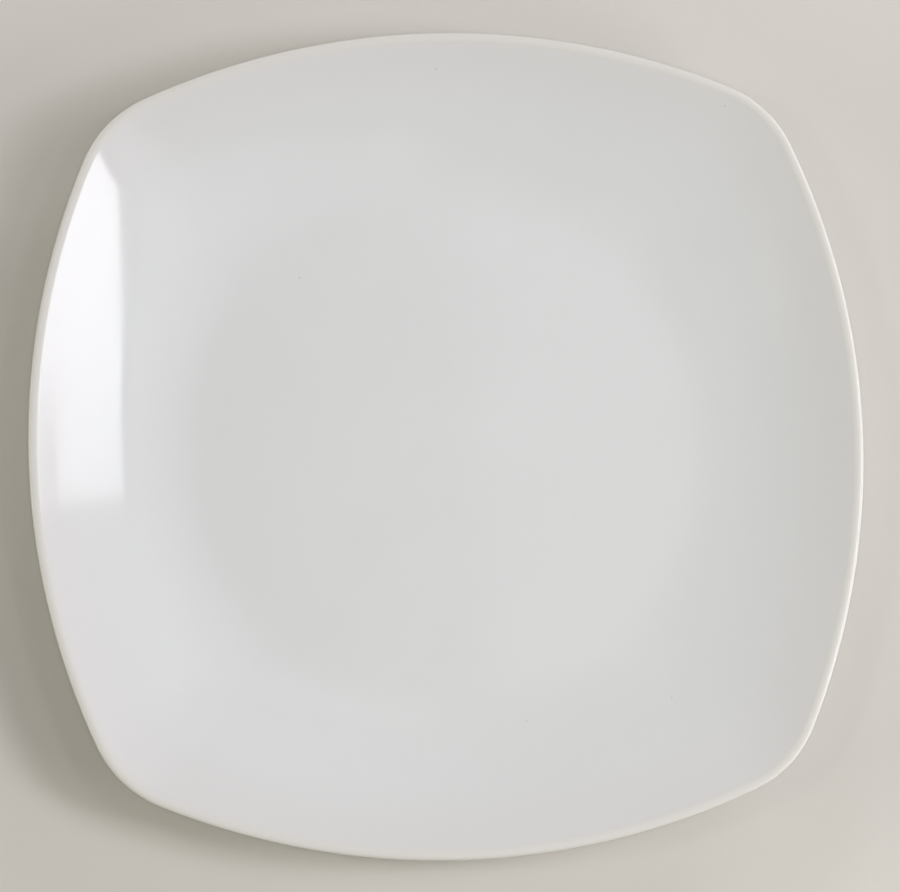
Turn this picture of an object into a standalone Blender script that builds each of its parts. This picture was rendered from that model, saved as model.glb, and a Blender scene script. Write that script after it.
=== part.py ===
"""Appetizer plate: a square porcelain plate with bowed sides and a turned-up wall, on a round foot ring.

The fired clay is one solid. Its glaze is two more: one coat runs from the face over the lip and down the back
to the foot, and another lies inside the foot ring. The foot's standing edge is bare clay and parts the two.
Sizes are in metres. The plate stands on z = 0, centred on the z axis, with a side towards +x, +y, -x and -y.
"""

import math

import bmesh
import bpy

# Outline seen from above, over the glaze
WIDTH = 0.165  # across the middles of two opposite sides
SIDE_RADIUS = 0.146  # each side is a shallow arc
CORNER_RADIUS = 0.0235

# Fired clay
WELL_RADIUS = 0.048  # the flat round middle
WELL_THICKNESS = 0.0034
DISH_DEPTH = 0.009  # from the well up to the top of the lip
LIP_THICKNESS = 0.0018  # the lip is a half round
WALL_CURVE = 0.4  # 0 gives a straight cone, and near 1 a sharp turn at the lip

# Foot ring
FOOT_HEIGHT = 0.004  # from the table to the underside of the well
FOOT_WIDTH = 0.0032  # of the standing face, with its rounded edges
FOOT_TAPER = 0.0005  # what each side of the ring gains towards its root
FOOT_FILLET = 0.0014  # where the ring meets the underside
FOOT_EDGE = 0.0005  # rounding of the standing edges
STACKING_CLEARANCE = 0.0035  # the foot sits this far inside the well of a plate below it

# Glaze
GLAZE_THICKNESS = 0.0003
GLAZE_GAP = 0.0003  # kept between the clay and a coat's own solid
BARE_HEIGHT = 0.0012  # the foot is wiped clean up to here

# Fineness of the facets
SIDE_STEPS = 8
CORNER_STEPS = 6
WALL_STEPS = 7
LIP_STEPS = 6
FILLET_STEPS = 3
EDGE_STEPS = 2
SHARP_ANGLE = math.radians(40)

# Worked out from the sizes above
COAT = GLAZE_GAP + GLAZE_THICKNESS
WELL_HEIGHT = FOOT_HEIGHT + WELL_THICKNESS
LIP_RADIUS = LIP_THICKNESS / 2
LIP_INSET = COAT + LIP_RADIUS
LIP_HEIGHT = WELL_HEIGHT + DISH_DEPTH - LIP_RADIUS
FOOT_OUTER = WELL_RADIUS - STACKING_CLEARANCE
FOOT_INNER = FOOT_OUTER - FOOT_WIDTH


def outline(inset):
    """Points round the plate's outline, drawn in by inset: four side arcs and the corners between them."""
    behind = SIDE_RADIUS - WIDTH / 2
    reach = SIDE_RADIUS - CORNER_RADIUS
    corner = (math.sqrt(2 * reach**2 - behind**2) - behind) / 2
    turn = math.atan2(corner, corner + behind)
    points = []
    for quarter in range(4):
        arcs = (
            (-behind, 0, SIDE_RADIUS - inset, -turn, turn, SIDE_STEPS),
            (corner, corner, CORNER_RADIUS - inset, turn, math.pi / 2 - turn, CORNER_STEPS),
        )
        for centre_x, centre_y, radius, first, last, steps in arcs:
            for step in range(steps):
                angle = first + (last - first) * step / steps
                x = centre_x + radius * math.cos(angle)
                y = centre_y + radius * math.sin(angle)
                points.append(turned(x, y, quarter))
    return points


def turned(x, y, quarter):
    """The point turned about the plate's axis by a number of quarter turns."""
    for _ in range(quarter):
        x, y = -y, x
    return x, y


BEARINGS = [math.atan2(y, x) for x, y in outline(0)]


def circle(radius, height):
    """A round ring of points, one in the direction of each point of the outline."""
    return [(radius * math.cos(angle), radius * math.sin(angle), height) for angle in BEARINGS]


def blended(share, inset, height):
    """A ring between the well's circle, at share 0, and the outline drawn in by inset, at share 1."""
    ring = []
    for (round_x, round_y, _), (square_x, square_y) in zip(circle(WELL_RADIUS, height), outline(inset)):
        x = round_x + share * (square_x - round_x)
        y = round_y + share * (square_y - round_y)
        ring.append((x, y, height))
    return ring


def wall_slope(level, side):
    """Angle at which the wall from this level meets the lip: side is 1 on the face and -1 on the back."""
    run = (1 - WALL_CURVE) * (WIDTH / 2 - LIP_INSET - WELL_RADIUS)
    rise = LIP_HEIGHT - level
    return math.atan2(rise, run) + side * math.asin(LIP_RADIUS / math.hypot(run, rise))


def wall(level, side):
    """Rings of the face or the back, from the well's edge out to the lip: level at first, then steeper."""
    slope = wall_slope(level, side)
    inset = LIP_INSET + side * LIP_RADIUS * math.sin(slope)
    top = LIP_HEIGHT + side * LIP_RADIUS * math.cos(slope)
    spring = WALL_CURVE * (WIDTH / 2 - LIP_INSET - WELL_RADIUS) / (WIDTH / 2 - inset - WELL_RADIUS)
    rings = []
    for step in range(WALL_STEPS + 1):
        along = step / WALL_STEPS
        share = 2 * spring * along * (1 - along) + along**2
        rings.append(blended(share, inset, level + (top - level) * along**2))
    return rings


def lip():
    """Rings of the half-round lip, between the last ring of the face and that of the back."""
    first = -wall_slope(WELL_HEIGHT, 1)
    last = math.pi - wall_slope(FOOT_HEIGHT, -1)
    rings = []
    for step in range(1, LIP_STEPS):
        angle = first + (last - first) * step / LIP_STEPS
        height = LIP_HEIGHT + LIP_RADIUS * math.cos(angle)
        rings.append([(x, y, height) for x, y in outline(LIP_INSET - LIP_RADIUS * math.sin(angle))])
    return rings


def foot_root(radius, side):
    """Rings down a side of the foot, from the underside to the line where its glaze ends: side is 1 or -1."""
    rings = []
    for step in range(FILLET_STEPS + 1):
        angle = math.pi / 2 * step / FILLET_STEPS
        out = FOOT_TAPER + FOOT_FILLET * (1 - math.sin(angle))
        rings.append(circle(radius + side * out, FOOT_HEIGHT - FOOT_FILLET * (1 - math.cos(angle))))
    taper = FOOT_TAPER * BARE_HEIGHT / (FOOT_HEIGHT - FOOT_FILLET)
    rings.append(circle(radius + side * taper, BARE_HEIGHT))
    return rings


def foot_edge(radius, side):
    """Rings round a standing edge of the foot, down to the face that stands on the table."""
    rings = []
    for step in range(EDGE_STEPS + 1):
        angle = math.pi / 2 * step / EDGE_STEPS
        back = FOOT_EDGE * (1 - math.cos(angle))
        rings.append(circle(radius - side * back, FOOT_EDGE * (1 - math.sin(angle))))
    return rings


def glazed_outside():
    """Rings of the clay under the outer coat: the face, the lip and the back, down to the bare foot."""
    back = wall(FOOT_HEIGHT, -1)[::-1]
    return wall(WELL_HEIGHT, 1) + lip() + back + foot_root(FOOT_OUTER, 1)


def glazed_recess():
    """Rings of the clay under the recess coat: up the inside of the foot and on to the underside."""
    return foot_root(FOOT_INNER, -1)[::-1]


def bare_foot():
    """Rings of the clay that stays bare: both standing edges, from the outside to the inside."""
    return foot_edge(FOOT_OUTER, 1) + foot_edge(FOOT_INNER, -1)[::-1]


def skinned(rings, close_first, close_last):
    """A mesh drawn out from ring to ring, with a flat face across the first or the last ring if asked for."""
    mesh = bmesh.new()
    corners = [mesh.verts.new(point) for point in rings[0]]
    edges = [mesh.edges.new((corners[i - 1], corners[i])) for i in range(len(corners))]
    if close_first:
        bmesh.ops.contextual_create(mesh, geom=edges)
    for ring in rings[1:]:
        grown = bmesh.ops.extrude_edge_only(mesh, edges=edges)["geom"]
        fresh = {item for item in grown if isinstance(item, bmesh.types.BMVert)}
        lines = [item for item in grown if isinstance(item, bmesh.types.BMEdge)]
        edges = [line for line in lines if fresh.issuperset(line.verts)]
        corners = [grown_from(corner, fresh) for corner in corners]
        for corner, point in zip(corners, ring):
            corner.co = point
    if close_last:
        bmesh.ops.contextual_create(mesh, geom=edges)
    bmesh.ops.recalc_face_normals(mesh, faces=mesh.faces)
    return mesh


def grown_from(corner, fresh):
    """The new corner that was drawn out of this one."""
    return next(edge.other_vert(corner) for edge in corner.link_edges if edge.other_vert(corner) in fresh)


def flat_face_points_up(mesh):
    """Whether the largest face of the mesh, the flat one that closes it, points up."""
    largest = max(mesh.faces, key=lambda face: face.calc_area())
    return largest.normal.z > 0


def material(name, colour, roughness):
    """A plain material with this colour and roughness."""
    made = bpy.data.materials.new(name)
    made.use_nodes = True
    shader = made.node_tree.nodes["Principled BSDF"]
    shader.inputs["Base Color"].default_value = (*colour, 1)
    shader.inputs["Roughness"].default_value = roughness
    shader.inputs["Metallic"].default_value = 0
    return made


def add_piece(name, mesh, finish, plate):
    """An object made from the mesh, shaded smooth except at its edges, and held by the plate's empty."""
    data = bpy.data.meshes.new(name)
    mesh.to_mesh(data)
    mesh.free()
    data.shade_smooth()
    data.set_sharp_from_angle(angle=SHARP_ANGLE)
    data.materials.append(finish)
    piece = bpy.data.objects.new(name, data)
    piece.parent = plate
    bpy.context.collection.objects.link(piece)
    return piece


def add_coat(name, mesh, finish, plate):
    """A glaze coat: the clay's own surface, grown outwards into a shell that starts past the gap."""
    piece = add_piece(name, mesh, finish, plate)
    shell = piece.modifiers.new("glaze", "SOLIDIFY")
    shell.thickness = GLAZE_THICKNESS
    shell.offset = 1 + 2 * GLAZE_GAP / GLAZE_THICKNESS
    shell.use_even_offset = True
    return piece


def clay_body(plate):
    """The fired clay, with its well, wall, lip and foot ring."""
    mesh = skinned(glazed_outside() + bare_foot() + glazed_recess(), close_first=True, close_last=True)
    add_piece("clay_body", mesh, material("bare_clay", (0.72, 0.68, 0.61), 0.85), plate)


def outer_glaze(plate):
    """The coat over the face, the lip and the back."""
    mesh = skinned(glazed_outside(), close_first=True, close_last=False)
    if not flat_face_points_up(mesh):
        bmesh.ops.reverse_faces(mesh, faces=mesh.faces)
    add_coat("outer_glaze", mesh, material("white_glaze", (0.69, 0.69, 0.68), 0.08), plate)


def recess_glaze(plate):
    """The coat on the underside, inside the foot ring."""
    mesh = skinned(glazed_recess(), close_first=False, close_last=True)
    if flat_face_points_up(mesh):
        bmesh.ops.reverse_faces(mesh, faces=mesh.faces)
    add_coat("recess_glaze", mesh, material("underside_glaze", (0.67, 0.67, 0.65), 0.12), plate)


def main():
    """Clears the scene and builds the plate."""
    for old in list(bpy.data.objects):
        bpy.data.objects.remove(old)
    plate = bpy.data.objects.new("plate", None)
    bpy.context.collection.objects.link(plate)
    clay_body(plate)
    outer_glaze(plate)
    recess_glaze(plate)


if __name__ == "__main__":
    main()
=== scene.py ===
"""The appetizer plate as it looks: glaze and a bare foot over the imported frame, in the photograph's light.

Sizes are in metres. The plate stands on z = 0, centred on the z axis, and the camera leans towards -y.
"""

import logging
import math
from dataclasses import dataclass
from enum import Enum
from typing import Callable, ClassVar, Optional

import bmesh
import bpy
from mathutils import Matrix, Vector


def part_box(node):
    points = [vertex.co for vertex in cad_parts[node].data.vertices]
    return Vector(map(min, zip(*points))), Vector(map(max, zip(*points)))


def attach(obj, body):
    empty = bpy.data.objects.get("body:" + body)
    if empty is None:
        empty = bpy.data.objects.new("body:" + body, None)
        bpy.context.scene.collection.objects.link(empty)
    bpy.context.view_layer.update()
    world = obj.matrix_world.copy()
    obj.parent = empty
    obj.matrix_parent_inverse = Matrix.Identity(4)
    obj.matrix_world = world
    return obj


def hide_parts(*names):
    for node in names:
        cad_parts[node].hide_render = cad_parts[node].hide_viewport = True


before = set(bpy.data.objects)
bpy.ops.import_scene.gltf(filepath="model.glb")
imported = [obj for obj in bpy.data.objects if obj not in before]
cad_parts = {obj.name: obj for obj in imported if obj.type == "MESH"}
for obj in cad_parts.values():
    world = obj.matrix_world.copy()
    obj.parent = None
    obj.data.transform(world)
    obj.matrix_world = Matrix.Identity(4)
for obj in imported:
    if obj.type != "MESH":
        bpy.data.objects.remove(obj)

POINT_SIZE = 0.001  # of the plane that is merged into an outline's first point
MERGE_DISTANCE = 1e-6
SAME_HEIGHT = 1e-5  # points whose heights differ by less lie at one height
MIDDLE_REACH = 0.005  # faces nearer the plate's axis than this lie over its middle
ON_RING = 0.25  # share of a rounding within which a point counts as on its ring
QUARTERS = 4
QUARTER_TURN = math.pi / 2
SMOOTH_ANGLE = math.radians(50)
DOT_CORE = 0.4  # share of a dot's radius that has its full colour
MIX_COLOURS = (6, 7)  # places of the two colours among a Mix node's inputs
MIX_RESULT = 2  # place of the mixed colour among its outputs

Colour = tuple[float, float, float]
Socket = bpy.types.NodeSocket

DAYLIGHT: Colour = (0.95, 0.955, 1.03)
ROOM_LIGHT: Colour = (1.03, 1.025, 0.95)
UNDERSIDE_WHITE: Colour = (0.64, 0.64, 0.625)

log = logging.getLogger("plate")


class CadNode(Enum):
    """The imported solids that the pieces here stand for."""

    CLAY = "clay_body"
    OUTER_COAT = "outer_glaze"
    RECESS_COAT = "recess_glaze"


class FinishSlot(Enum):
    """The record's material slots."""

    BARE_CLAY = "bare_clay"
    WHITE_GLAZE = "white_glaze"
    UNDERSIDE_GLAZE = "underside_glaze"


class WallSide(Enum):
    """The two surfaces of the plate's wall: its value says which side of the lip's centre a surface meets."""

    FACE = 1
    BACK = -1


class RampShape(Enum):
    """How a ramp goes from its low end to its high end."""

    EVEN = "LINEAR"
    SMOOTH = "SMOOTHSTEP"


class EditBench:
    """One mesh object in edit mode, and the strokes that shape it."""

    def __init__(self, name: str) -> None:
        """Names the object that the next primitive becomes.

        Args:
            name: Name of the finished piece.
        """
        self.name = name
        self.piece: Optional[bpy.types.Object] = None
        self.height = 0.0

    def take(self) -> None:
        """Takes the primitive that was just added, puts its place into its mesh and starts editing."""
        self.piece = bpy.context.object
        self.piece.name = self.name
        self.piece.data.name = self.name
        bpy.ops.object.transform_apply(location=True, rotation=True, scale=True)
        bpy.ops.object.mode_set(mode="EDIT")
        bpy.ops.mesh.select_mode(type="EDGE")

    def start_from_point(self, place: Vector) -> None:
        """Adds a small plane and merges it into a single point.

        Args:
            place: Where the point is.
        """
        bpy.ops.object.select_all(action="DESELECT")
        bpy.ops.mesh.primitive_plane_add(size=POINT_SIZE, location=place)
        self.take()
        bpy.ops.mesh.select_mode(type="VERT")
        bpy.ops.mesh.select_all(action="SELECT")
        bpy.ops.mesh.merge(type="CENTER")
        self.height = place.z

    def start_from_disc(self, radius: float, height: float, steps: int) -> None:
        """Adds a flat round face.

        Args:
            radius: Of the disc.
            height: Where it lies.
            steps: Corners round it.
        """
        bpy.ops.object.select_all(action="DESELECT")
        place = Vector((0, 0, height))
        bpy.ops.mesh.primitive_circle_add(vertices=steps, radius=radius, fill_type="NGON", location=place)
        self.take()
        self.height = height

    def sweep(self, centre: Vector, angle: float, steps: int) -> None:
        """Spins the selected point along an arc about the vertical, counter-clockwise from above."""
        bpy.ops.mesh.spin(steps=steps, angle=-angle, center=centre, axis=(0, 0, 1))

    def close_outline(self) -> None:
        """Joins the last point of a drawn outline to its first, and fills it with one face that points up."""
        bpy.ops.mesh.select_all(action="SELECT")
        bpy.ops.mesh.remove_doubles(threshold=MERGE_DISTANCE)
        bpy.ops.mesh.select_mode(type="EDGE")
        bpy.ops.mesh.select_all(action="SELECT")
        bpy.ops.mesh.edge_face_add()
        mesh = bmesh.from_edit_mesh(self.piece.data)
        if next(iter(mesh.faces)).normal.z < 0:
            bpy.ops.mesh.flip_normals()

    def pick_edges(self, wanted: Callable[[bmesh.types.BMEdge], bool]) -> None:
        """Selects the edges that pass a test, and nothing else.

        Args:
            wanted: The test.
        """
        bpy.ops.mesh.select_mode(type="EDGE")
        bpy.ops.mesh.select_all(action="DESELECT")
        mesh = bmesh.from_edit_mesh(self.piece.data)
        for edge in mesh.edges:
            if wanted(edge):
                edge.select_set(True)
        bmesh.update_edit_mesh(self.piece.data)

    def pick_open_edge(self, height: float) -> None:
        """Selects the open edge of the surface at a height.

        Args:
            height: Where the edge lies.
        """

        def open_there(edge: bmesh.types.BMEdge) -> bool:
            """Whether the edge is open and at the height."""
            level = all(abs(vertex.co.z - height) < SAME_HEIGHT for vertex in edge.verts)
            return edge.is_boundary and level

        self.pick_edges(open_there)
        self.height = height

    def picked_reach(self) -> float:
        """Measures how far out the selected points are.

        Returns:
            Their mean distance from the plate's axis.
        """
        mesh = bmesh.from_edit_mesh(self.piece.data)
        reaches = [vertex.co.xy.length for vertex in mesh.verts if vertex.select]
        return sum(reaches) / len(reaches)

    def open_face(self, height: float) -> None:
        """Removes the selected face, which lies at a height, and selects the edge that it leaves open."""
        bpy.ops.mesh.delete(type="ONLY_FACE")
        self.pick_open_edge(height)

    def step_in(self, inset: float, rise: float) -> None:
        """Insets the selected face, parallel to its outline, and lifts it along its normal."""
        bpy.ops.mesh.inset(thickness=inset, depth=rise, use_even_offset=True)

    def draw_ring(self, scale: float, height: float, roundness: float = 0.0) -> None:
        """Extrudes the selected ring into a new one.

        Args:
            scale: Size of the new ring against the last.
            height: Where the new ring lies.
            roundness: How far the new ring turns into a circle, up to 1.
        """
        middle = (0, 0, self.height)
        bpy.ops.mesh.extrude_region_move()
        if roundness > 0:
            bpy.ops.transform.tosphere(value=roundness, center_override=middle)
        bpy.ops.transform.resize(value=(scale, scale, 1), center_override=middle)
        bpy.ops.transform.translate(value=(0, 0, height - self.height))
        self.height = height

    def draw_round_ring(self, radius: float, height: float) -> None:
        """Extrudes the selected round ring to another radius and height."""
        self.draw_ring(radius / self.picked_reach(), height)

    def finish_skin(self, points_up: bool) -> None:
        """Turns the faces the right way and leaves edit mode.

        Args:
            points_up: Whether the highest face over the plate's middle points up.
        """
        bpy.ops.mesh.select_all(action="SELECT")
        bpy.ops.mesh.normals_make_consistent(inside=False)
        mesh = bmesh.from_edit_mesh(self.piece.data)
        over_middle = [face for face in mesh.faces if face.calc_center_median().xy.length < MIDDLE_REACH]
        highest = max(over_middle, key=lambda face: face.calc_center_median().z)
        if (highest.normal.z > 0) != points_up:
            bpy.ops.mesh.flip_normals()
        bpy.ops.object.mode_set(mode="OBJECT")

    def thicken(self, depth: float) -> None:
        """Gives the skin a thickness behind its faces.

        Args:
            depth: How thick.
        """
        wall = self.piece.modifiers.new("thickness", "SOLIDIFY")
        wall.thickness = depth
        wall.offset = -1
        wall.use_even_offset = True
        bpy.ops.object.modifier_apply(modifier=wall.name)

    def round_ring(self, radius: float, height: float, rounding: float, steps: int) -> None:
        """Bevels the ring of edges at a place.

        Args:
            radius: Of the ring.
            height: Where it lies.
            rounding: Width of the bevel.
            steps: Segments of the bevel.
        """
        near = ON_RING * rounding

        def at_ring(edge: bmesh.types.BMEdge) -> bool:
            """Whether both ends of the edge are on the ring."""
            return all(
                abs(vertex.co.xy.length - radius) < near and abs(vertex.co.z - height) < near
                for vertex in edge.verts
            )

        bpy.ops.object.mode_set(mode="EDIT")
        self.pick_edges(at_ring)
        bpy.ops.mesh.bevel(offset=rounding, segments=steps, profile=0.5)
        bpy.ops.object.mode_set(mode="OBJECT")

    def smooth(self) -> None:
        """Shades the piece smooth, but for its sharp edges."""
        bpy.ops.object.select_all(action="DESELECT")
        self.piece.select_set(True)
        bpy.context.view_layer.objects.active = self.piece
        bpy.ops.object.shade_smooth_by_angle(angle=SMOOTH_ANGLE)


class NodeBench:
    """The node tree of a material, a lamp or the world, and short ways to add to it."""

    def __init__(self, tree: bpy.types.NodeTree) -> None:
        """Takes the tree that is added to."""
        self.tree = tree

    def add(self, kind: str, operation: str = "") -> bpy.types.Node:
        """Adds a node.

        Args:
            kind: Blender's name for it, without its prefix.
            operation: What a node of arithmetic does.

        Returns:
            The node.
        """
        node = self.tree.nodes.new("ShaderNode" + kind)
        if operation:
            node.operation = operation
        return node

    def link(self, source: Socket, target: Socket) -> None:
        """Joins two sockets."""
        self.tree.links.new(source, target)

    def ramp(
        self,
        source: Socket,
        low: float,
        high: float,
        to_low: float = 0.0,
        to_high: float = 1.0,
        shape: RampShape = RampShape.SMOOTH,
    ) -> Socket:
        """Adds a step between two values.

        Args:
            source: The value to map.
            low: Where the step starts.
            high: Where the step ends.
            to_low: Result up to the start.
            to_high: Result from the end on.
            shape: How the result goes from the one to the other.

        Returns:
            The mapped value.
        """
        node = self.add("MapRange")
        node.interpolation_type = shape.value
        self.link(source, node.inputs["Value"])
        node.inputs["From Min"].default_value = low
        node.inputs["From Max"].default_value = high
        node.inputs["To Min"].default_value = to_low
        node.inputs["To Max"].default_value = to_high
        return node.outputs["Result"]

    def combine(self, operation: str, first: Socket, second: Socket | float) -> Socket:
        """Adds arithmetic on two numbers.

        Args:
            operation: Blender's name for it.
            first: The first number.
            second: The second, a socket or a plain number.

        Returns:
            The result.
        """
        node = self.add("Math", operation)
        self.link(first, node.inputs[0])
        if isinstance(second, (int, float)):
            node.inputs[1].default_value = second
        else:
            self.link(second, node.inputs[1])
        return node.outputs["Value"]

    def backdrop_rays(self) -> Socket:
        """Finds the rays that see the backdrop: the camera's, and those that are mirrored or let through.

        Returns:
            1 for such a ray, and 0 for one that carries light to a surface.
        """
        rays = self.add("LightPath")
        seen = rays.outputs["Is Camera Ray"]
        for kind in ("Is Glossy Ray", "Is Transmission Ray"):
            seen = self.combine("MAXIMUM", seen, rays.outputs[kind])
        return seen


class MaterialBench(NodeBench):
    """The node tree of one material, and the patterns that the finishes are made of."""

    def __init__(self, name: str) -> None:
        """Makes a material that has its shader and its coordinates.

        Args:
            name: Of the material.
        """
        self.material = bpy.data.materials.new(name)
        self.material.use_nodes = True
        super().__init__(self.material.node_tree)
        self.shader = self.tree.nodes["Principled BSDF"]
        self.place: Socket = self.add("TexCoord").outputs["Object"]

    def noise(self, scale: float, detail: float) -> Socket:
        """Adds a cloudy pattern.

        Args:
            scale: Clouds per metre.
            detail: Finer octaves.

        Returns:
            The pattern, around 0.5.
        """
        node = self.add("TexNoise")
        node.inputs["Scale"].default_value = scale
        node.inputs["Detail"].default_value = detail
        self.link(self.place, node.inputs["Vector"])
        return node.outputs["Fac"]

    def height(self) -> Socket:
        """Finds how high a point is.

        Returns:
            Its height above the table.
        """
        node = self.add("SeparateXYZ")
        self.link(self.place, node.inputs["Vector"])
        return node.outputs["Z"]

    def outward_tilt(self, low: float, high: float) -> Socket:
        """Finds where the surface faces up and away from the plate's axis.

        Args:
            low: Sine of the tilt at which this starts.
            high: Sine of the tilt from which it is full.

        Returns:
            1 where it faces well outwards, as on the lip's outer edge, and 0 on the face and the back.
        """
        coordinates = self.place.node
        level = self.add("VectorMath", "MULTIPLY")
        level.inputs[1].default_value = (1, 1, 0)
        outwards = self.add("VectorMath", "NORMALIZE")
        tilt = self.add("VectorMath", "DOT_PRODUCT")
        facing = self.add("SeparateXYZ")
        self.link(self.place, level.inputs[0])
        self.link(level.outputs["Vector"], outwards.inputs[0])
        self.link(outwards.outputs["Vector"], tilt.inputs[0])
        self.link(coordinates.outputs["Normal"], tilt.inputs[1])
        self.link(coordinates.outputs["Normal"], facing.inputs["Vector"])
        not_below = self.ramp(facing.outputs["Z"], low=-0.5, high=-0.1)
        return self.combine("MULTIPLY", self.ramp(tilt.outputs["Value"], low, high), not_below)

    def blend(self, share: Socket, first: Socket | Colour, second: Socket | Colour) -> Socket:
        """Mixes two colours.

        Args:
            share: How much of the second shows.
            first: A colour or the output of another mix.
            second: Likewise.

        Returns:
            The mixed colour.
        """
        node = self.add("Mix")
        node.data_type = "RGBA"
        self.link(share, node.inputs["Factor"])
        for colour, place in zip((first, second), MIX_COLOURS):
            if isinstance(colour, tuple):
                node.inputs[place].default_value = (*colour, 1)
            else:
                self.link(colour, node.inputs[place])
        return node.outputs[MIX_RESULT]

    def dots(self, scale: float, radius: float, share: float) -> Socket:
        """Adds sparse round dots, laid out from above.

        Args:
            scale: Places per metre where a dot may be.
            radius: Of the largest dots.
            share: How many of the places have one.

        Returns:
            1 inside a dot and 0 outside it.
        """
        node = self.add("TexVoronoi")
        node.voronoi_dimensions = "2D"
        node.inputs["Scale"].default_value = scale
        self.link(self.place, node.inputs["Vector"])
        split = self.add("SeparateColor")
        self.link(node.outputs["Color"], split.inputs["Color"])
        chosen = self.combine("LESS_THAN", split.outputs["Red"], share)
        edge = radius * scale
        round_dot = self.ramp(node.outputs["Distance"], DOT_CORE * edge, edge, to_low=1.0, to_high=0.0)
        return self.combine("MULTIPLY", round_dot, chosen)

    def bump(self, heights: Socket, depth: float, under: Optional[Socket] = None) -> Socket:
        """Adds relief that is too fine for the mesh.

        Args:
            heights: The pattern.
            depth: Metres between its 0 and its 1.
            under: The normal of coarser relief below it.

        Returns:
            The normal.
        """
        node = self.add("Bump")
        node.inputs["Strength"].default_value = 1.0
        node.inputs["Distance"].default_value = depth
        self.link(heights, node.inputs["Height"])
        if under is not None:
            self.link(under, node.inputs["Normal"])
        return node.outputs["Normal"]


@dataclass(frozen=True)
class GlazeFinish:
    """A glossy white glaze, warmer where it runs thin over the lip, with faint mottling and a few specks, and
    with painted light: a painted warm shade high on the wall and a painted brightening of the lip's outer
    edge.
    """

    name: str
    colour: Colour
    mottle_colour: Colour
    # painted warm shade: a pinkish, slightly darker tint high on the wall that stands in for warm reflected
    # light and shade
    painted_warm_shade_colour: Colour
    crown_colour: Colour
    # lip's outer edge: cream where the glaze runs thin, and also painted brighter than the glaze as painted
    # light on its outer side
    lip_cream_and_painted_light: Colour
    speck_colour: Colour = (0.47, 0.40, 0.29)
    # the painted warm shade fades in between the next two heights
    painted_shade_starts: float = 0.0110  # height, as are the next three
    painted_shade_ends: float = 0.0160
    crown_starts: float = 0.0164
    crown_ends: float = 0.0170
    lip_tilt: float = 0.4  # sine of the outward tilt from which the lip has its full colour
    mottle_scale: float = 45  # clouds per metre, as are the next three
    handled_scale: float = 120
    sag_scale: float = 40
    peel_scale: float = 260
    sag_depth: float = 0.000025
    peel_depth: float = 0.000002
    speck_scale: float = 70  # places per metre where a speck may be
    speck_radius: float = 0.00018
    speck_share: float = 0.04
    roughness: float = 0.06
    handled_roughness: float = 0.09
    refraction: float = 1.45

    def make(self) -> bpy.types.Material:
        """Builds the material.

        Returns:
            The material.
        """
        bench = MaterialBench(self.name)
        height = bench.height()
        mottle = bench.ramp(bench.noise(self.mottle_scale, detail=3), low=0.35, high=0.65)
        # where the painted warm shade shows, by height on the wall
        rim = bench.ramp(height, self.painted_shade_starts, self.painted_shade_ends)
        crown = bench.ramp(height, self.crown_starts, self.crown_ends)
        # the outward-facing lip gets the cream colour, painted brighter to stand in for light falling on it
        lip = bench.outward_tilt(0.0, self.lip_tilt)
        specks = bench.dots(self.speck_scale, self.speck_radius, self.speck_share)
        colour = bench.blend(mottle, self.colour, self.mottle_colour)
        colour = bench.blend(rim, colour, self.painted_warm_shade_colour)
        colour = bench.blend(crown, colour, self.crown_colour)
        colour = bench.blend(lip, colour, self.lip_cream_and_painted_light)
        colour = bench.blend(specks, colour, self.speck_colour)
        bench.link(colour, bench.shader.inputs["Base Color"])
        handled = bench.noise(self.handled_scale, detail=3)
        dull = bench.ramp(handled, low=0.35, high=0.75, to_low=self.roughness, to_high=self.handled_roughness)
        bench.link(dull, bench.shader.inputs["Roughness"])
        sag = bench.bump(bench.noise(self.sag_scale, detail=1), self.sag_depth)
        peel = bench.bump(bench.noise(self.peel_scale, detail=1), self.peel_depth, sag)
        bench.link(peel, bench.shader.inputs["Normal"])
        bench.shader.inputs["IOR"].default_value = self.refraction
        return bench.material


@dataclass(frozen=True)
class BareClayFinish:
    """Fired clay with no glaze: matt, granular and a little stained where it stands."""

    name: str = "bare_clay"
    colour: Colour = (0.66, 0.62, 0.55)
    grain_colour: Colour = (0.56, 0.52, 0.45)
    worn_colour: Colour = (0.45, 0.43, 0.39)
    iron_colour: Colour = (0.28, 0.20, 0.13)
    grain_scale: float = 2200  # grains per metre
    grain_depth: float = 0.00008
    scuff_scale: float = 160  # scuffs per metre
    scuff_height: float = 0.0004  # up to which the standing edge is worn
    iron_scale: float = 400  # places per metre where a spot of iron may be
    iron_radius: float = 0.0002
    iron_share: float = 0.06
    roughness: float = 0.92
    grain_roughness: float = 0.78

    def make(self) -> bpy.types.Material:
        """Builds the material.

        Returns:
            The material.
        """
        bench = MaterialBench(self.name)
        grain = bench.noise(self.grain_scale, detail=4)
        standing = bench.ramp(bench.height(), 0.0, self.scuff_height, to_low=1.0, to_high=0.0)
        scuffs = bench.ramp(bench.noise(self.scuff_scale, detail=4), low=0.45, high=0.65)
        worn = bench.combine("MULTIPLY", standing, scuffs)
        iron = bench.dots(self.iron_scale, self.iron_radius, self.iron_share)
        colour = bench.blend(bench.ramp(grain, low=0.4, high=0.65), self.colour, self.grain_colour)
        colour = bench.blend(worn, colour, self.worn_colour)
        colour = bench.blend(iron, colour, self.iron_colour)
        bench.link(colour, bench.shader.inputs["Base Color"])
        dull = bench.ramp(grain, low=0.3, high=0.7, to_low=self.roughness, to_high=self.grain_roughness)
        bench.link(dull, bench.shader.inputs["Roughness"])
        bench.link(bench.bump(grain, self.grain_depth), bench.shader.inputs["Normal"])
        return bench.material


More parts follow.
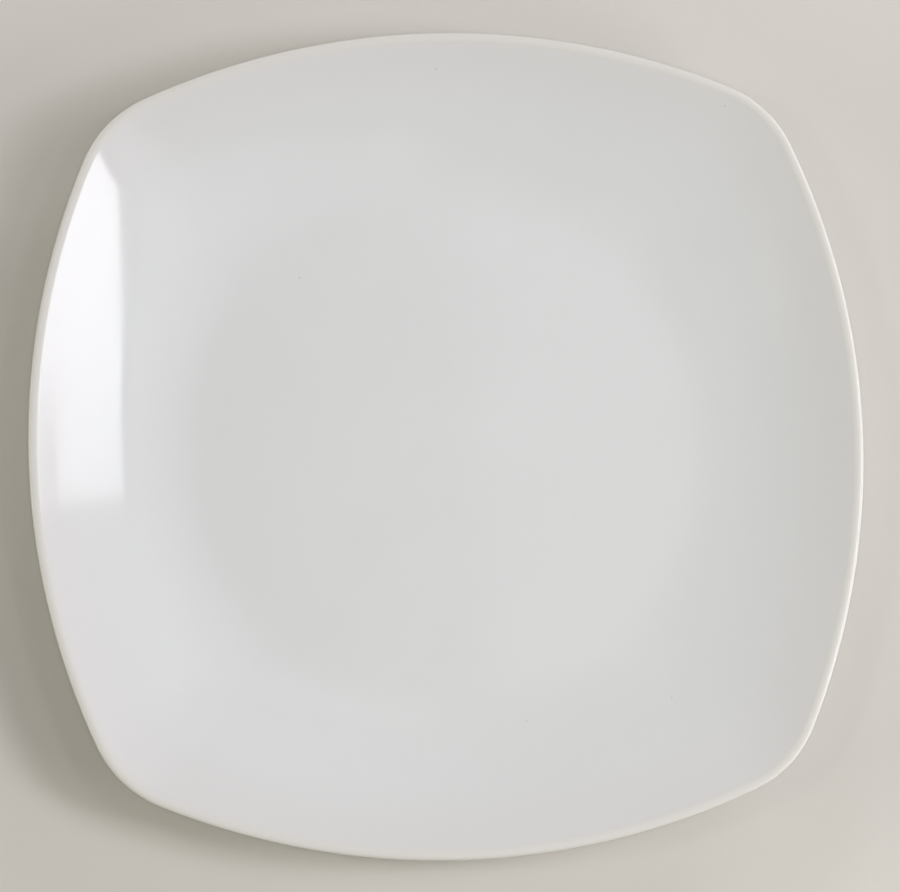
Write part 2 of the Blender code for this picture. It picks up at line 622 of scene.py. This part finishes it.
@dataclass(frozen=True)
class TableFinish:
    """A pale matt table top that fades into the backdrop far away."""

    name: str = "pale_table"
    colour: Colour = (0.632, 0.602, 0.553)
    cloud_colour: Colour = (0.622, 0.592, 0.543)
    backdrop: Colour = (0.62, 0.59, 0.55)
    fade_starts: float = 0.13  # distance from the plate's axis, as is the next
    fade_ends: float = 0.3
    cloud_scale: float = 6  # clouds per metre
    grain_scale: float = 900  # grains per metre
    grain_depth: float = 0.00002
    roughness: float = 0.9
    gloss: float = 0.2

    def make(self) -> bpy.types.Material:
        """Builds the material.

        Returns:
            The material.
        """
        bench = MaterialBench(self.name)
        clouds = bench.ramp(bench.noise(self.cloud_scale, detail=4), low=0.35, high=0.65)
        colour = bench.blend(clouds, self.colour, self.cloud_colour)
        bench.link(colour, bench.shader.inputs["Base Color"])
        bench.shader.inputs["Roughness"].default_value = self.roughness
        bench.shader.inputs["Specular IOR Level"].default_value = self.gloss
        grain = bench.noise(self.grain_scale, detail=3)
        bench.link(bench.bump(grain, self.grain_depth), bench.shader.inputs["Normal"])
        far = bench.add("Emission")
        far.inputs["Color"].default_value = (*self.backdrop, 1)
        reach = bench.add("VectorMath", "LENGTH")
        bench.link(bench.place, reach.inputs[0])
        fade = bench.ramp(reach.outputs["Value"], self.fade_starts, self.fade_ends)
        mix = bench.add("MixShader")
        bench.link(bench.combine("MULTIPLY", bench.backdrop_rays(), fade), mix.inputs["Fac"])
        bench.link(bench.shader.outputs["BSDF"], mix.inputs[1])
        bench.link(far.outputs["Emission"], mix.inputs[2])
        bench.link(mix.outputs["Shader"], bench.tree.nodes["Material Output"].inputs["Surface"])
        return bench.material


@dataclass(frozen=True)
class PlateSizes:
    """The plate's driving sizes, of the fired clay where a field doesn't say otherwise."""

    width: float  # over the glaze, across the middles of two sides
    side_radius: float = 0.146  # over the glaze
    corner_radius: float = 0.0235  # over the glaze
    well_radius: float = 0.048
    well_thickness: float = 0.0034
    well_turn: float = 0.003  # how far inside its edge the well starts to turn up into the wall
    dish_depth: float = 0.009
    lip_radius: float = 0.0009
    lip_crown: float = 0.0024  # radius of the lip's gently rounded top
    lip_edge: float = 0.00005  # rounding between that top and the plate's outer edge
    lip_tilt: float = math.radians(5)  # of the top, outwards, where it meets that rounding
    wall_curve: float = 0.4
    foot_height: float = 0.004
    foot_outer: float = 0.0445
    foot_inner: float = 0.0413
    foot_taper: float = 0.0005
    foot_fillet: float = 0.0014
    foot_edge: float = 0.0005
    coat: float = 0.0006  # of glaze
    bare_height: float = 0.0012

    def lip_height(self) -> float:
        """Height of the lip's centre."""
        return self.foot_height + self.well_thickness + self.dish_depth - self.lip_radius

    def wall_run(self) -> float:
        """Distance from the well's edge to the lip's centre, at the middle of a side."""
        return self.width / 2 - self.coat - self.lip_radius - self.well_radius

    def foot_side(self, height: float) -> float:
        """How far a side of the foot has tapered outwards at a height, below its fillet."""
        return self.foot_taper * height / (self.foot_height - self.foot_fillet)


@dataclass(frozen=True)
class LipArc:
    """The arc of the lip's section that a side of the wall runs into."""

    inset: float  # of its centre from the outer edge
    height: float  # of its centre
    radius: float

    def point(self, angle: float, side: WallSide) -> tuple[float, float]:
        """The distance from the outer edge and the height of the arc's point at an outward angle."""
        across = self.inset - self.radius * math.sin(angle)
        return across, self.height + side.value * self.radius * math.cos(angle)

    def points(self, first: float, last: float, steps: int, side: WallSide) -> list[tuple[float, float]]:
        """Points at equal turns along the arc, from its first angle to its last, both among them."""
        return [self.point(first + (last - first) * step / steps, side) for step in range(steps + 1)]


@dataclass
class PlateSkin:
    """The plate's surface from the middle of its face, over the lip and down its back."""

    sizes: PlateSizes
    growth: float  # how far the surface lies outside the clay
    side_steps: int = 32
    corner_steps: int = 24
    lip_steps: int = 12
    edge_steps: int = 4
    wall_steps: int = 20
    fillet_steps: int = 6

    def level(self, side: WallSide) -> float:
        """Finds the height at which a side of the wall starts.

        Args:
            side: Face or back.

        Returns:
            The height of the well on the face, or of its underside on the back.
        """
        if side is WallSide.FACE:
            return self.sizes.foot_height + self.sizes.well_thickness + self.growth
        return self.sizes.foot_height - self.growth

    def outer_edge(self) -> float:
        """Distance of the skin's outer edge from the plate's axis, at the middle of a side."""
        return self.sizes.width / 2 - self.sizes.coat + self.growth

    def edge_arc(self) -> LipArc:
        """Places the tight rounding of the lip's outer edge.

        Returns:
            The arc.
        """
        sizes = self.sizes
        radius = sizes.lip_edge + self.growth
        top = sizes.lip_height() + sizes.lip_radius + self.growth
        crown = sizes.lip_crown + self.growth
        drop = crown * (1 - math.cos(sizes.lip_tilt)) + radius * math.cos(sizes.lip_tilt)
        return LipArc(radius, top - drop, radius)

    def wall_arc(self, side: WallSide) -> LipArc:
        """The part of the lip that the wall runs into: its crown on the face, a quarter round on the back.

        Args:
            side: Face or back.

        Returns:
            The arc.
        """
        sizes = self.sizes
        if side is WallSide.BACK:
            radius = sizes.lip_radius + self.growth
            return LipArc(radius, sizes.lip_height(), radius)
        edge = self.edge_arc()
        crown = sizes.lip_crown + self.growth
        inset = edge.radius + (crown - edge.radius) * math.sin(sizes.lip_tilt)
        return LipArc(inset, sizes.lip_height() + sizes.lip_radius + self.growth - crown, crown)

    def slope(self, side: WallSide) -> float:
        """Angle at which a side of the wall meets the lip.

        Args:
            side: Face or back.

        Returns:
            The angle from the horizontal.
        """
        arc = self.wall_arc(side)
        spring = self.sizes.well_radius + self.sizes.wall_curve * self.sizes.wall_run()
        run = self.outer_edge() - arc.inset - spring
        rise = arc.height - self.level(side)
        return math.atan2(rise, run) + side.value * math.asin(arc.radius / math.hypot(run, rise))

    def lip_section(self, side: WallSide) -> list[tuple[float, float]]:
        """Points of the lip's section, from the outer edge to the wall.

        Args:
            side: Face or back.

        Returns:
            The distance of each point from the outer edge, and its height.
        """
        arc = self.wall_arc(side)
        slope = self.slope(side)
        if side is WallSide.BACK:
            return arc.points(QUARTER_TURN, slope, self.lip_steps, side)[1:]
        tilt = self.sizes.lip_tilt
        rounding = self.edge_arc().points(QUARTER_TURN, tilt, self.edge_steps, side)[:-1]
        return rounding + arc.points(tilt, -slope, self.lip_steps, side)

    def draw_rim(self, bench: EditBench) -> None:
        """Draws the rim's outline at the height of the lip's centre, and fills it.

        Args:
            bench: Where to draw.
        """
        sizes = self.sizes
        inset = sizes.coat - self.growth
        behind = sizes.side_radius - sizes.width / 2
        reach = sizes.side_radius - sizes.corner_radius
        corner = (math.sqrt(2 * reach**2 - behind**2) - behind) / 2
        turn = math.atan2(corner, corner + behind)
        height = sizes.lip_height()
        radius = sizes.side_radius - inset
        bench.start_from_point(Vector((radius * math.cos(turn) - behind, -radius * math.sin(turn), height)))
        for quarter in range(QUARTERS):
            turned = Matrix.Rotation(quarter * QUARTER_TURN, 3, "Z")
            bench.sweep(turned @ Vector((-behind, 0, height)), 2 * turn, self.side_steps)
            bench.sweep(turned @ Vector((corner, corner, height)), QUARTER_TURN - 2 * turn, self.corner_steps)
        bench.close_outline()

    def round_lip(self, bench: EditBench, side: WallSide) -> None:
        """Insets the rim's face step by step along the lip's section, and opens it where the wall begins.

        Args:
            bench: Where the rim's face is selected.
            side: Which half of the lip.
        """
        inset = 0.0
        height = self.sizes.lip_height()
        for next_inset, next_height in self.lip_section(side):
            bench.step_in(next_inset - inset, side.value * (next_height - height))
            inset = next_inset
            height = next_height
        bench.open_face(height)

    def well_edge(self, side: WallSide) -> float:
        """Finds where a side of the wall starts: the face's turns up a little earlier, and softly.

        Args:
            side: Face or back.

        Returns:
            The radius there.
        """
        if side is WallSide.FACE:
            return self.sizes.well_radius - self.sizes.well_turn
        return self.sizes.well_radius

    def wall_section(self, side: WallSide, along: float) -> tuple[float, float]:
        """A point of the wall's section, a curve that leaves the well level and meets the lip at its slope.

        Args:
            side: Face or back.
            along: 0 at the well and 1 at the lip.

        Returns:
            The shares of the wall's run and of its rise that lie below the point.
        """
        sizes = self.sizes
        inset, _ = self.lip_section(side)[-1]
        start = self.well_edge(side)
        run = self.outer_edge() - inset - start
        spring = (sizes.well_radius + sizes.wall_curve * sizes.wall_run() - start) / run
        rest = 1 - along
        if side is WallSide.BACK:
            return 2 * spring * along * rest + along**2, along**2
        turn = (sizes.well_radius + 2 * sizes.well_turn - start) / run
        return 3 * turn * along * rest**2 + 3 * spring * along**2 * rest + along**3, along**3

    def draw_wall(self, bench: EditBench, side: WallSide) -> None:
        """Draws a side of the wall in rings from the lip to the well's round edge.

        Args:
            bench: Where the lip's last ring is selected.
            side: Face or back.
        """
        start = self.well_edge(side)
        low = self.level(side)
        high = bench.height
        square = bench.picked_reach()
        share = 1.0
        reach = square
        for step in range(self.wall_steps - 1, -1, -1):
            next_share, rise = self.wall_section(side, step / self.wall_steps)
            next_reach = start + next_share * (square - start)
            scale = next_reach / reach
            roundness = 1 - next_share / (share * scale)
            bench.draw_ring(scale, low + (high - low) * rise, roundness)
            share = next_share
            reach = next_reach

    def draw_foot_root(self, bench: EditBench) -> None:
        """Draws the underside in to the foot, and the foot's outside down to the line where its glaze ends.

        Args:
            bench: Where the back's round edge is selected.
        """
        sizes = self.sizes
        centre = sizes.foot_outer + sizes.foot_taper + sizes.foot_fillet
        level = sizes.foot_height - sizes.foot_fillet
        radius = sizes.foot_fillet - self.growth
        for step in range(self.fillet_steps + 1):
            angle = QUARTER_TURN * step / self.fillet_steps
            bench.draw_round_ring(centre - radius * math.sin(angle), level + radius * math.cos(angle))
        bench.draw_round_ring(self.bare_line(), sizes.bare_height)

    def bare_line(self) -> float:
        """Radius at which the glaze on the foot's outside ends."""
        return self.sizes.foot_outer + self.sizes.foot_side(self.sizes.bare_height) + self.growth

    def draw_outside(self, bench: EditBench) -> None:
        """Draws the face, the lip, the back and the foot's outside.

        Args:
            bench: Where to draw.
        """
        self.draw_rim(bench)
        self.round_lip(bench, WallSide.FACE)
        self.draw_wall(bench, WallSide.FACE)
        bpy.ops.mesh.fill_grid(span=self.side_steps + self.corner_steps)
        bench.pick_open_edge(self.sizes.lip_height())
        bpy.ops.mesh.edge_face_add()
        self.round_lip(bench, WallSide.BACK)
        self.draw_wall(bench, WallSide.BACK)
        self.draw_foot_root(bench)


@dataclass
class PlatePiece:
    """What the plate's pieces have in common: their sizes, their finish and the way they are dressed."""

    node: ClassVar[CadNode]
    slot: ClassVar[FinishSlot]

    sizes: PlateSizes
    finish: GlazeFinish | BareClayFinish

    def dress(self, piece: bpy.types.Object) -> None:
        """Gives the modelled piece its finish and puts it in place of its solid."""
        piece.data.materials.append(self.finish.make())
        place_piece(piece, self.node)


@dataclass
class OuterGlaze(PlatePiece):
    """The coat of glaze over the face, the lip and the back, with a rounded edge above the bare foot."""

    node = CadNode.OUTER_COAT
    slot = FinishSlot.WHITE_GLAZE

    edge_rounding: float = 0.0003
    edge_steps: int = 3

    def build(self) -> bpy.types.Object:
        """Models the coat.

        Returns:
            The piece.
        """
        skin = PlateSkin(self.sizes, self.sizes.coat)
        bench = EditBench("glazed_face_and_back")
        skin.draw_outside(bench)
        bench.finish_skin(points_up=True)
        bench.thicken(self.sizes.coat)
        bench.round_ring(skin.bare_line(), self.sizes.bare_height, self.edge_rounding, self.edge_steps)
        bench.smooth()
        return bench.piece


@dataclass
class ClayBody(PlatePiece):
    """The fired clay under the glaze, which shows at the foot's standing edge."""

    node = CadNode.CLAY
    slot = FinishSlot.BARE_CLAY

    edge_steps: int = 4
    lip_steps: int = 5
    wall_steps: int = 10

    def build(self) -> bpy.types.Object:
        """Models the clay.

        Returns:
            The piece.
        """
        sizes = self.sizes
        skin = PlateSkin(sizes, 0.0, lip_steps=self.lip_steps, wall_steps=self.wall_steps)
        bench = EditBench("clay_with_bare_foot")
        skin.draw_outside(bench)
        self.draw_edge(bench, sizes.foot_outer, -1, range(self.edge_steps + 1))
        self.draw_edge(bench, sizes.foot_inner, 1, range(self.edge_steps, -1, -1))
        bench.draw_round_ring(sizes.foot_inner - sizes.foot_side(sizes.bare_height), sizes.bare_height)
        self.draw_recess(bench, skin.fillet_steps)
        bpy.ops.mesh.edge_face_add()
        bench.finish_skin(points_up=True)
        bench.smooth()
        return bench.piece

    def draw_edge(self, bench: EditBench, radius: float, inwards: int, order: range) -> None:
        """Draws the rounding of one standing edge.

        Args:
            bench: Where the ring before it is selected.
            radius: Of the foot's side there.
            inwards: 1 or -1, the way from that side to the middle of the standing face.
            order: The steps, from the side at 0 to the standing face.
        """
        for step in order:
            angle = QUARTER_TURN * step / self.edge_steps
            back = self.sizes.foot_edge * (1 - math.cos(angle))
            bench.draw_round_ring(radius + inwards * back, self.sizes.foot_edge * (1 - math.sin(angle)))

    def draw_recess(self, bench: EditBench, steps: int) -> None:
        """Draws the foot's inside up to the underside of the well.

        Args:
            bench: Where the ring at the inner bare line is selected.
            steps: Rings of the fillet.
        """
        sizes = self.sizes
        centre = sizes.foot_inner - sizes.foot_taper - sizes.foot_fillet
        level = sizes.foot_height - sizes.foot_fillet
        for step in range(steps, -1, -1):
            angle = QUARTER_TURN * step / steps
            out = sizes.foot_fillet * math.sin(angle)
            bench.draw_round_ring(centre + out, level + sizes.foot_fillet * math.cos(angle))


@dataclass
class RecessGlaze(PlatePiece):
    """The coat of glaze inside the foot ring."""

    node = CadNode.RECESS_COAT
    slot = FinishSlot.UNDERSIDE_GLAZE

    round_steps: int = 160
    fillet_steps: int = 6
    edge_rounding: float = 0.0003
    edge_steps: int = 3

    def build(self) -> bpy.types.Object:
        """Models the coat.

        Returns:
            The piece.
        """
        sizes = self.sizes
        centre = sizes.foot_inner - sizes.foot_taper - sizes.foot_fillet
        level = sizes.foot_height - sizes.foot_fillet
        radius = sizes.foot_fillet - sizes.coat
        bench = EditBench("glazed_foot_recess")
        bench.start_from_disc(centre, level + radius, self.round_steps)
        bench.pick_open_edge(level + radius)
        for step in range(1, self.fillet_steps + 1):
            angle = QUARTER_TURN * step / self.fillet_steps
            bench.draw_round_ring(centre + radius * math.sin(angle), level + radius * math.cos(angle))
        bare_line = sizes.foot_inner - sizes.foot_side(sizes.bare_height) - sizes.coat
        bench.draw_round_ring(bare_line, sizes.bare_height)
        bench.finish_skin(points_up=False)
        bench.thicken(sizes.coat)
        bench.round_ring(bare_line, sizes.bare_height, self.edge_rounding, self.edge_steps)
        bench.smooth()
        return bench.piece


def place_piece(piece: bpy.types.Object, node: CadNode) -> None:
    """Puts a finished piece on the plate's one body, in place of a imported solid.

    Args:
        piece: The finished piece.
        node: The solid that it stands for.
    """
    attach(piece, "root")
    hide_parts(node.value)


@dataclass(frozen=True)
class PhotoCamera:
    """The photograph's viewpoint: almost overhead, as a fit of the rim's outline gave it."""

    lean: float = math.radians(-7.78)
    roll: float = math.radians(2.28)
    turn: float = math.radians(1.79)
    distance: float = 12.935  # in half widths of the plate, as are the next two
    right: float = -0.0075
    up: float = 0.0072
    lens_per_frame_width: float = 6.0

    def place(self, half_width: float, rim_height: float) -> None:
        """Adds the camera and makes it the scene's.

        Args:
            half_width: Of the plate.
            rim_height: Height of the rim's outline.
        """
        seen = Matrix.Rotation(self.lean, 3, "X") @ Matrix.Rotation(self.roll, 3, "Y")
        seen = seen @ Matrix.Rotation(self.turn, 3, "Z")
        back = seen.transposed()
        away = back @ Vector((-self.right, -self.up, self.distance)) * half_width
        place = away + Vector((0, 0, rim_height))
        bpy.ops.object.camera_add(location=place, rotation=back.to_euler())
        camera = bpy.context.object
        camera.name = "photo_camera"
        camera.data.lens = camera.data.sensor_width * self.lens_per_frame_width
        bpy.context.scene.camera = camera


@dataclass(frozen=True)
class BarnDoor:
    """A flap that cuts off one corner of a lamp's face along a slanted line."""

    lean: float  # degrees by which the line drops towards the lamp's first side
    reach: float  # of the line from the middle of the lamp's face
    softness: float = 0.01


@dataclass(frozen=True)
class Softbox:
    """A flat lamp that faces the plate, brightest at a hot spot and dimmer away from it."""

    name: str
    zenith: float  # degrees down from straight overhead
    azimuth: float  # degrees round from +x
    share: float  # of the light on the table, where 1 in all shows a colour as it is written
    distance: float = 1.2
    width: float = 0.5  # level
    height: float = 0.3  # up and down
    colour: Colour = DAYLIGHT
    hot_spot: tuple[float, float] = (0.5, 0.5)  # across and up, as shares of the lamp's face
    fade_reach: tuple[float, float] = (0.5, 0.5)  # from the hot spot to where the fading ends, likewise
    edge_share: float = 1.0  # of the hot spot's brightness that is left there
    barn_door: Optional[BarnDoor] = None
    mirrored: bool = False  # whether the glaze reflects it

    def hang(self) -> None:
        """Adds the lamp and turns it towards the plate's middle."""
        down = math.radians(self.zenith)
        level = math.radians(self.azimuth)
        facing = Vector((math.sin(down) * math.cos(level), math.sin(down) * math.sin(level), math.cos(down)))
        turned = (-facing).to_track_quat("-Z", "Y").to_euler()
        bpy.ops.object.light_add(type="AREA", location=facing * self.distance, rotation=turned)
        lamp = bpy.context.object
        lamp.name = self.name
        lamp.visible_camera = False
        lamp.visible_glossy = self.mirrored
        lamp.data.shape = "RECTANGLE"
        lamp.data.size = self.width
        lamp.data.size_y = self.height
        lamp.data.color = self.colour
        lamp.data.energy = self.share * (math.pi * self.distance) ** 2 / math.cos(down)
        if self.edge_share < 1:
            self.dim_edges(lamp)

    def dim_edges(self, lamp: bpy.types.Object) -> None:
        """Makes the lamp's face fade away from its hot spot, and end at its barn door.

        Args:
            lamp: The lamp.
        """
        lamp.data.use_nodes = True
        bench = NodeBench(lamp.data.node_tree)
        face = bench.add("TexCoord").outputs["UV"]
        placed = bench.add("Mapping")
        placed.vector_type = "TEXTURE"
        placed.inputs["Location"].default_value = (*self.hot_spot, 0)
        placed.inputs["Scale"].default_value = (*self.fade_reach, 1)
        reach = bench.add("VectorMath", "LENGTH")
        bench.link(face, placed.inputs["Vector"])
        bench.link(placed.outputs["Vector"], reach.inputs[0])
        strength = bench.ramp(
            reach.outputs["Value"], 0.0, 1.0, to_low=1.0, to_high=self.edge_share, shape=RampShape.EVEN
        )
        if self.barn_door is not None:
            strength = self.cut_corner(bench, face, strength)
        bench.link(strength, bench.tree.nodes["Emission"].inputs["Strength"])

    def cut_corner(self, bench: NodeBench, face: Socket, strength: Socket) -> Socket:
        """Darkens the lamp's face beyond the barn door.

        Args:
            bench: With the lamp's node tree.
            face: Coordinates across and up the lamp's face.
            strength: The brightness without the barn door.

        Returns:
            The brightness with it.
        """
        door = self.barn_door
        lean = math.radians(door.lean)
        placed = bench.add("Mapping")
        placed.inputs["Location"].default_value = (-self.width / 2, -self.height / 2, 0)
        placed.inputs["Scale"].default_value = (self.width, self.height, 1)
        across = bench.add("VectorMath", "DOT_PRODUCT")
        across.inputs[1].default_value = (-math.sin(lean), math.cos(lean), 0)
        bench.link(face, placed.inputs["Vector"])
        bench.link(placed.outputs["Vector"], across.inputs[0])
        starts = door.reach - door.softness
        ends = door.reach + door.softness
        shade = bench.ramp(across.outputs["Value"], starts, ends, to_low=1.0, to_high=0.0)
        return bench.combine("MULTIPLY", shade, strength)


@dataclass(frozen=True)
class Studio:
    """The pale table, the weak light of the room and the softboxes."""

    table: TableFinish
    softboxes: tuple[Softbox, ...]
    room_colour: Colour = (0.026, 0.026, 0.023)
    table_width: float = 14.0

    def set_up(self) -> None:
        """Builds the table, the room and the lamps."""
        bpy.ops.object.select_all(action="DESELECT")
        bpy.ops.mesh.primitive_plane_add(size=self.table_width)
        floor = bpy.context.object
        floor.name = "pale_table"
        floor.data.materials.append(self.table.make())
        self.light_room()
        for softbox in self.softboxes:
            softbox.hang()

    def light_room(self) -> None:
        """Gives the room its weak light, and the pale backdrop that the camera and the glaze see."""
        world = bpy.data.worlds.new("pale_room")
        world.use_nodes = True
        bench = NodeBench(world.node_tree)
        room = bench.tree.nodes["Background"]
        room.inputs["Color"].default_value = (*self.room_colour, 1)
        backdrop = bench.add("Background")
        backdrop.inputs["Color"].default_value = (*self.table.backdrop, 1)
        choice = bench.add("MixShader")
        bench.link(bench.backdrop_rays(), choice.inputs["Fac"])
        bench.link(room.outputs["Background"], choice.inputs[1])
        bench.link(backdrop.outputs["Background"], choice.inputs[2])
        bench.link(choice.outputs["Shader"], bench.tree.nodes["World Output"].inputs["Surface"])
        bpy.context.scene.world = world


def studio_lamps() -> tuple[Softbox, ...]:
    """The lamps: the key and its wash from the right, windows and cards round the room, and fills overhead.

    Returns:
        The lamps, of which the glaze reflects the mirrored ones.
    """
    return (
        Softbox(
            "key_softbox", zenith=35.9, azimuth=2.1, share=0.16, width=0.374, height=0.269,
            hot_spot=(0.35, 0.5), fade_reach=(0.65, 3.0), edge_share=0.53,
            barn_door=BarnDoor(lean=16, reach=0.117), mirrored=True,
        ),
        Softbox(
            "ceiling_card", zenith=15, azimuth=0, share=0.06, width=0.8, height=0.51,
            hot_spot=(0.5, 0.0), fade_reach=(0.5, 1.0), edge_share=0.62, mirrored=True,
        ),
        Softbox("key_wash", zenith=47, azimuth=-9, share=0.196, width=0.3),
        Softbox("low_window", zenith=80, azimuth=0, share=0.051, distance=1.5),
        Softbox("back_window", zenith=66, azimuth=50, share=0.061, width=0.4),
        Softbox("near_back_lamp", zenith=66, azimuth=87, share=0.034, distance=0.6, width=0.15, height=0.15),
        Softbox(
            "near_front_lamp", zenith=59, azimuth=-31, share=0.106,
            distance=0.6, width=0.2, height=0.2, colour=ROOM_LIGHT,
        ),
        Softbox(
            "front_window", zenith=66, azimuth=-45, share=0.012,
            distance=1.4, height=0.24, colour=ROOM_LIGHT, mirrored=True,
        ),
        Softbox("rear_window", zenith=58, azimuth=100, share=0.02, distance=1.4, height=0.22, mirrored=True),
        Softbox(
            "side_window", zenith=56, azimuth=135, share=0.03,
            distance=1.4, height=0.24, colour=ROOM_LIGHT, mirrored=True,
        ),
        Softbox(
            "left_reflector", zenith=66, azimuth=184, share=0.075,
            width=0.75, height=0.35, colour=ROOM_LIGHT, mirrored=True,
        ),
        Softbox("low_left_card", zenith=82, azimuth=184, share=0.024, distance=1.5, colour=ROOM_LIGHT),
        Softbox(
            "lens_fill", zenith=8, azimuth=252.3, share=0.162,
            distance=1.083, width=0.06, height=0.06, colour=ROOM_LIGHT,
        ),
        Softbox(
            "high_left_fill", zenith=28, azimuth=180, share=0.049,
            distance=1.4, width=0.12, height=0.12, colour=ROOM_LIGHT,
        ),
        Softbox("high_right_fill", zenith=18, azimuth=0, share=0.032, distance=1.4, width=0.12, height=0.12),
    )


def main() -> None:
    """Builds the plate's pieces, the studio and the camera."""
    logging.basicConfig(level=logging.INFO, format="%(message)s")
    bpy.context.scene.view_settings.view_transform = "Standard"
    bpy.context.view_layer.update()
    low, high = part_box(CadNode.OUTER_COAT.value)
    sizes = PlateSizes(width=high[0] - low[0])
    white = GlazeFinish(
        "white_glaze",
        colour=(0.669, 0.671, 0.664),
        mottle_colour=(0.661, 0.663, 0.656),
        # painted warm shade high on the wall, standing in for warm reflected light and shade
        painted_warm_shade_colour=(0.664, 0.648, 0.638),
        crown_colour=(0.666, 0.644, 0.609),
        # cream of the thin glaze, painted brighter as painted light on the lip's outer edge
        lip_cream_and_painted_light=(0.705, 0.682, 0.63),
    )
    underside = GlazeFinish(
        "underside_glaze",
        colour=UNDERSIDE_WHITE,
        mottle_colour=(0.625, 0.625, 0.61),
        painted_warm_shade_colour=UNDERSIDE_WHITE,
        crown_colour=UNDERSIDE_WHITE,
        lip_cream_and_painted_light=UNDERSIDE_WHITE,
    )
    parts = (OuterGlaze(sizes, white), ClayBody(sizes, BareClayFinish()), RecessGlaze(sizes, underside))
    for part in parts:
        piece = part.build()
        part.dress(piece)
        log.info("%s: %d faces", piece.name, len(piece.data.polygons))
    Studio(TableFinish(), studio_lamps()).set_up()
    PhotoCamera().place(sizes.width / 2, sizes.lip_height())


if __name__ == "__main__":
    main()
